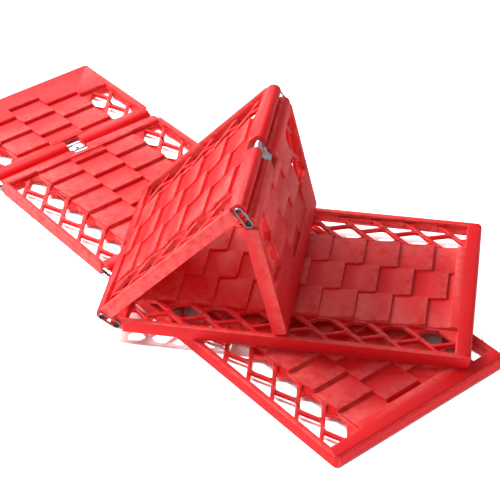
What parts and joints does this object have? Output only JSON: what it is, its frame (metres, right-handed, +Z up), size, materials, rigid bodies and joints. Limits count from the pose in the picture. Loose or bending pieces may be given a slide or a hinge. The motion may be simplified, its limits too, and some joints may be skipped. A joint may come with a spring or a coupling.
{
  "type": "folding tire traction mats",
  "caption": "Folding moulded traction mats for a tyre on snow or mud: ribbed red panels joined by steel clips, one mat flat and one stood up on it as a tent.",
  "frame": {"origin": "centre of the whole part's bounding box in plan, at the ground face of the lower mat", "axes": "+X along the lower mat towards the free end of its long panel, +Y across it to the rear edge, +Z up"},
  "size_m": [0.604, 0.3437, 0.1536],
  "materials": {
    "red_plastic": "fine moulded grain, semi-matte",
    "bright_steel_clip": "bright plated strip, folded round the rods",
    "bright_steel_rod": "drawn steel rod"
  },
  "bodies": {
    "lower_long": {"lower_long_panel": "red_plastic", "lower_long_panel_rod_inner": "bright_steel_rod"},
    "lower_inner_clips": {"lower_inner_clip_front": "bright_steel_clip", "lower_inner_clip_centre": "bright_steel_clip", "lower_inner_clip_rear": "bright_steel_clip"},
    "lower_middle": {"lower_middle_panel": "red_plastic", "lower_middle_panel_rod_outer": "bright_steel_rod", "lower_middle_panel_rod_inner": "bright_steel_rod"},
    "lower_outer_clips": {"lower_outer_clip_front": "bright_steel_clip", "lower_outer_clip_centre": "bright_steel_clip", "lower_outer_clip_rear": "bright_steel_clip"},
    "lower_end": {"lower_end_panel": "red_plastic", "lower_end_panel_rod_outer": "bright_steel_rod"},
    "upper_long": {"upper_long_panel": "red_plastic", "upper_long_panel_rod_inner": "bright_steel_rod"},
    "upper_inner_clips": {"upper_inner_clip_front": "bright_steel_clip", "upper_inner_clip_centre": "bright_steel_clip", "upper_inner_clip_rear": "bright_steel_clip"},
    "upper_middle": {"upper_middle_panel": "red_plastic", "upper_middle_panel_rod_outer": "bright_steel_rod", "upper_middle_panel_rod_inner": "bright_steel_rod"},
    "upper_outer_clips": {"upper_outer_clip_front": "bright_steel_clip", "upper_outer_clip_centre": "bright_steel_clip", "upper_outer_clip_rear": "bright_steel_clip"},
    "upper_end": {"upper_end_panel": "red_plastic", "upper_end_panel_rod_outer": "bright_steel_rod"}
  },
  "joints": [
    {"name": "upper_mat_lift", "type": "slide", "parent": "lower_long", "child": "upper_long", "axis": [0, 0, 1], "range_m": [0, 0.3]},
    {"name": "lower_inner_clip_turn", "type": "hinge", "parent": "lower_long", "child": "lower_inner_clips", "pos_m": [0.008, -0.0249, 0.006], "axis": [0, -1, 0], "range_deg": [0, 90]},
    {"name": "lower_inner_fold", "type": "hinge", "parent": "lower_inner_clips", "child": "lower_middle", "pos_m": [-0.006, -0.0249, 0.006], "axis": [0, -1, 0], "range_deg": [0, 90]},
    {"name": "lower_outer_clip_turn", "type": "hinge", "parent": "lower_middle", "child": "lower_outer_clips", "pos_m": [-0.174, -0.0249, 0.006], "axis": [0, 1, 0], "range_deg": [0, 80]},
    {"name": "lower_outer_fold", "type": "hinge", "parent": "lower_outer_clips", "child": "lower_end", "pos_m": [-0.188, -0.0249, 0.006], "axis": [0, 1, 0], "range_deg": [0, 80]},
    {"name": "upper_inner_clip_turn", "type": "hinge", "parent": "upper_long", "child": "upper_inner_clips", "pos_m": [0.07353, -0.15995, 0.0183], "axis": [0.6561, -0.7547, 0], "range_deg": [0, 32]},
    {"name": "upper_inner_fold", "type": "hinge", "parent": "upper_inner_clips", "child": "upper_middle", "pos_m": [0.06457, -0.16774, 0.02572], "axis": [0.6561, -0.7547, 0], "range_deg": [0, 101.5]},
    {"name": "upper_outer_clip_turn", "type": "hinge", "parent": "upper_middle", "child": "upper_outer_clips", "pos_m": [0.15185, -0.09187, 0.14758], "axis": [0.6561, -0.7547, 0], "range_deg": [0, 100.5]},
    {"name": "upper_outer_fold", "type": "hinge", "parent": "upper_outer_clips", "child": "upper_end", "pos_m": [0.15806, -0.08647, 0.13626], "axis": [0.6561, -0.7547, 0], "range_deg": [0, 22.56]}
  ],
  "couplings": [
    {"joint": "lower_outer_clip_turn", "follows": "lower_outer_fold", "ratio": 1},
    {"joint": "upper_inner_clip_turn", "follows": "upper_inner_fold", "ratio": 0.31527},
    {"joint": "upper_outer_fold", "follows": "upper_outer_clip_turn", "ratio": 0.22443}
  ]
}
